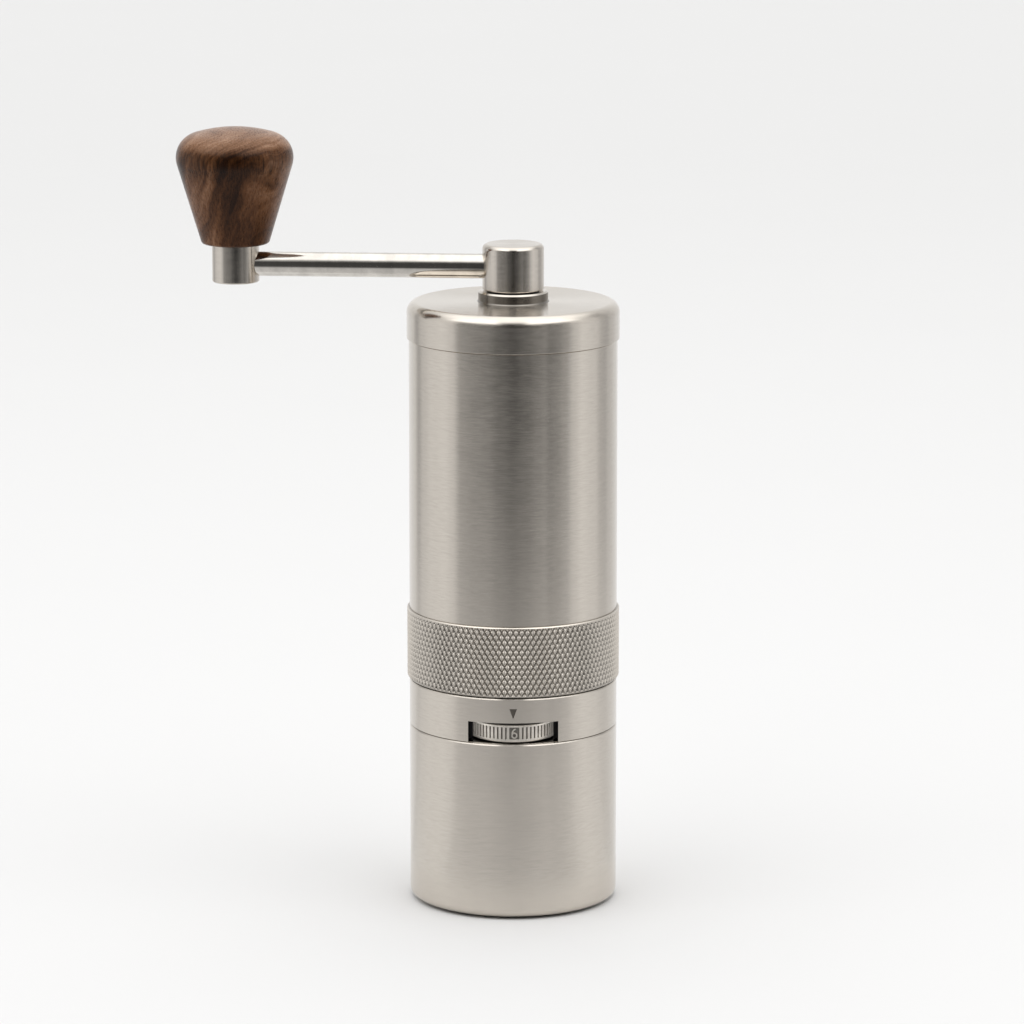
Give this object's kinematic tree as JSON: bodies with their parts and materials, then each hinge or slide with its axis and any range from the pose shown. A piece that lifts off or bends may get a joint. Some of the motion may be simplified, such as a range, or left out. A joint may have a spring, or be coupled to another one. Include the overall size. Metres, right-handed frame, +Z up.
{
  "type": "hand crank coffee grinder",
  "caption": "Slim steel hand coffee grinder with a knurled grip, a lift-off lid with crank and wooden knob, conical burrs, a grind thumbwheel and a catch cup.",
  "frame": {"origin": "centre of the foot, on the table", "axes": "+Z up along the shaft, the thumbwheel window faces -Y, the crank points to -X at rest"},
  "size_m": [0.1077, 0.052, 0.1903],
  "materials": {
    "brushed_steel": "fine circumferential brushing",
    "knurled_steel": "diamond knurl, satin",
    "polished_steel": "polished",
    "turned_steel": "turned and brushed",
    "burr_steel": "ground, dark",
    "bearing_steel": "ground",
    "black_steel": "black oxide",
    "dark_aluminium": "dark anodised",
    "brass": "machined",
    "rubber": "matt",
    "black_plastic": "moulded, matt",
    "walnut": "oiled, satin",
    "mark_paint": "matt fill"
  },
  "bodies": {
    "cup": {"catch_cup": "brushed_steel", "cup_foot": "rubber"},
    "casing": {"body_tube": "brushed_steel", "grip_ring": "knurled_steel", "collar": "brushed_steel", "index_mark": "mark_paint", "cup_seal": "rubber", "burr_carrier": "dark_aluminium", "outer_burr": "burr_steel", "clamp_ring": "turned_steel", "clamp_screws": "black_steel", "lower_spider": "black_plastic", "lower_bearing": "bearing_steel", "upper_spider": "black_plastic", "upper_bearing": "bearing_steel", "spider_snap_ring": "black_steel", "gear_case": "black_plastic", "case_screw": "black_steel", "bridge": "dark_aluminium", "bridge_screws": "black_steel", "wheel_axle": "black_steel", "wheel_washer": "brass", "detent_plunger": "bearing_steel", "preload_spring": "bearing_steel"},
    "wheel": {"adjust_wheel": "turned_steel", "wheel_pinion": "brass", "wheel_bush": "brass"},
    "carriage": {"thrust_ball": "bearing_steel"},
    "adjuster": {"adjuster_screw": "turned_steel", "adjuster_gear": "brass"},
    "shaft": {"drive_shaft": "polished_steel", "inner_burr": "burr_steel", "burr_washer": "turned_steel", "burr_nut": "turned_steel", "spring_seat": "brass", "shaft_circlip": "black_steel"},
    "lid": {"lid_shell": "brushed_steel", "lid_bush": "turned_steel", "bush_nut": "turned_steel", "lid_seal": "rubber", "hub_washer": "black_plastic"},
    "crank": {"crank_hub": "turned_steel", "hub_circlip": "black_steel", "crank_rod": "polished_steel", "crank_post": "turned_steel", "knob_washer": "black_plastic", "knob_snap_ring": "black_steel"},
    "knob": {"wood_knob": "walnut", "knob_insert": "brass"}
  },
  "joints": [
    {"name": "body_lift", "type": "slide", "parent": "cup", "child": "casing", "axis": [0, 0, 1], "range_m": [0, 0.055]},
    {"name": "lid_lift", "type": "slide", "parent": "casing", "child": "lid", "axis": [0, 0, 1], "range_m": [0, 0.06]},
    {"name": "crank_turn", "type": "hinge", "parent": "lid", "child": "crank", "pos_m": [0, 0, 0.157], "axis": [0, 0, 1], "continuous": true},
    {"name": "knob_spin", "type": "hinge", "parent": "crank", "child": "knob", "pos_m": [-0.06743, 0.00472, 0.175], "axis": [0, 0, 1], "continuous": true},
    {"name": "grind_adjust", "type": "hinge", "parent": "casing", "child": "wheel", "pos_m": [0, -0.0145, 0.0466], "axis": [0, 0, 1], "range_deg": [-165, 165]},
    {"name": "burr_lift", "type": "slide", "parent": "casing", "child": "carriage", "axis": [0, 0, 1], "range_m": [-0.000279, 0.000279], "deforming": ["preload_spring"]},
    {"name": "adjuster_turn", "type": "hinge", "parent": "carriage", "child": "adjuster", "pos_m": [0, 0, 0.053], "axis": [0, 0, 1], "range_deg": [-135, 135]},
    {"name": "shaft_turn", "type": "hinge", "parent": "carriage", "child": "shaft", "pos_m": [0, 0, 0.1], "axis": [0, 0, 1], "continuous": true}
  ],
  "couplings": [
    {"joint": "grind_adjust", "follows": "burr_lift", "rad_per_m": -10311},
    {"joint": "adjuster_turn", "follows": "burr_lift", "rad_per_m": 8377.6},
    {"joint": "shaft_turn", "follows": "crank_turn", "ratio": 1}
  ]
}
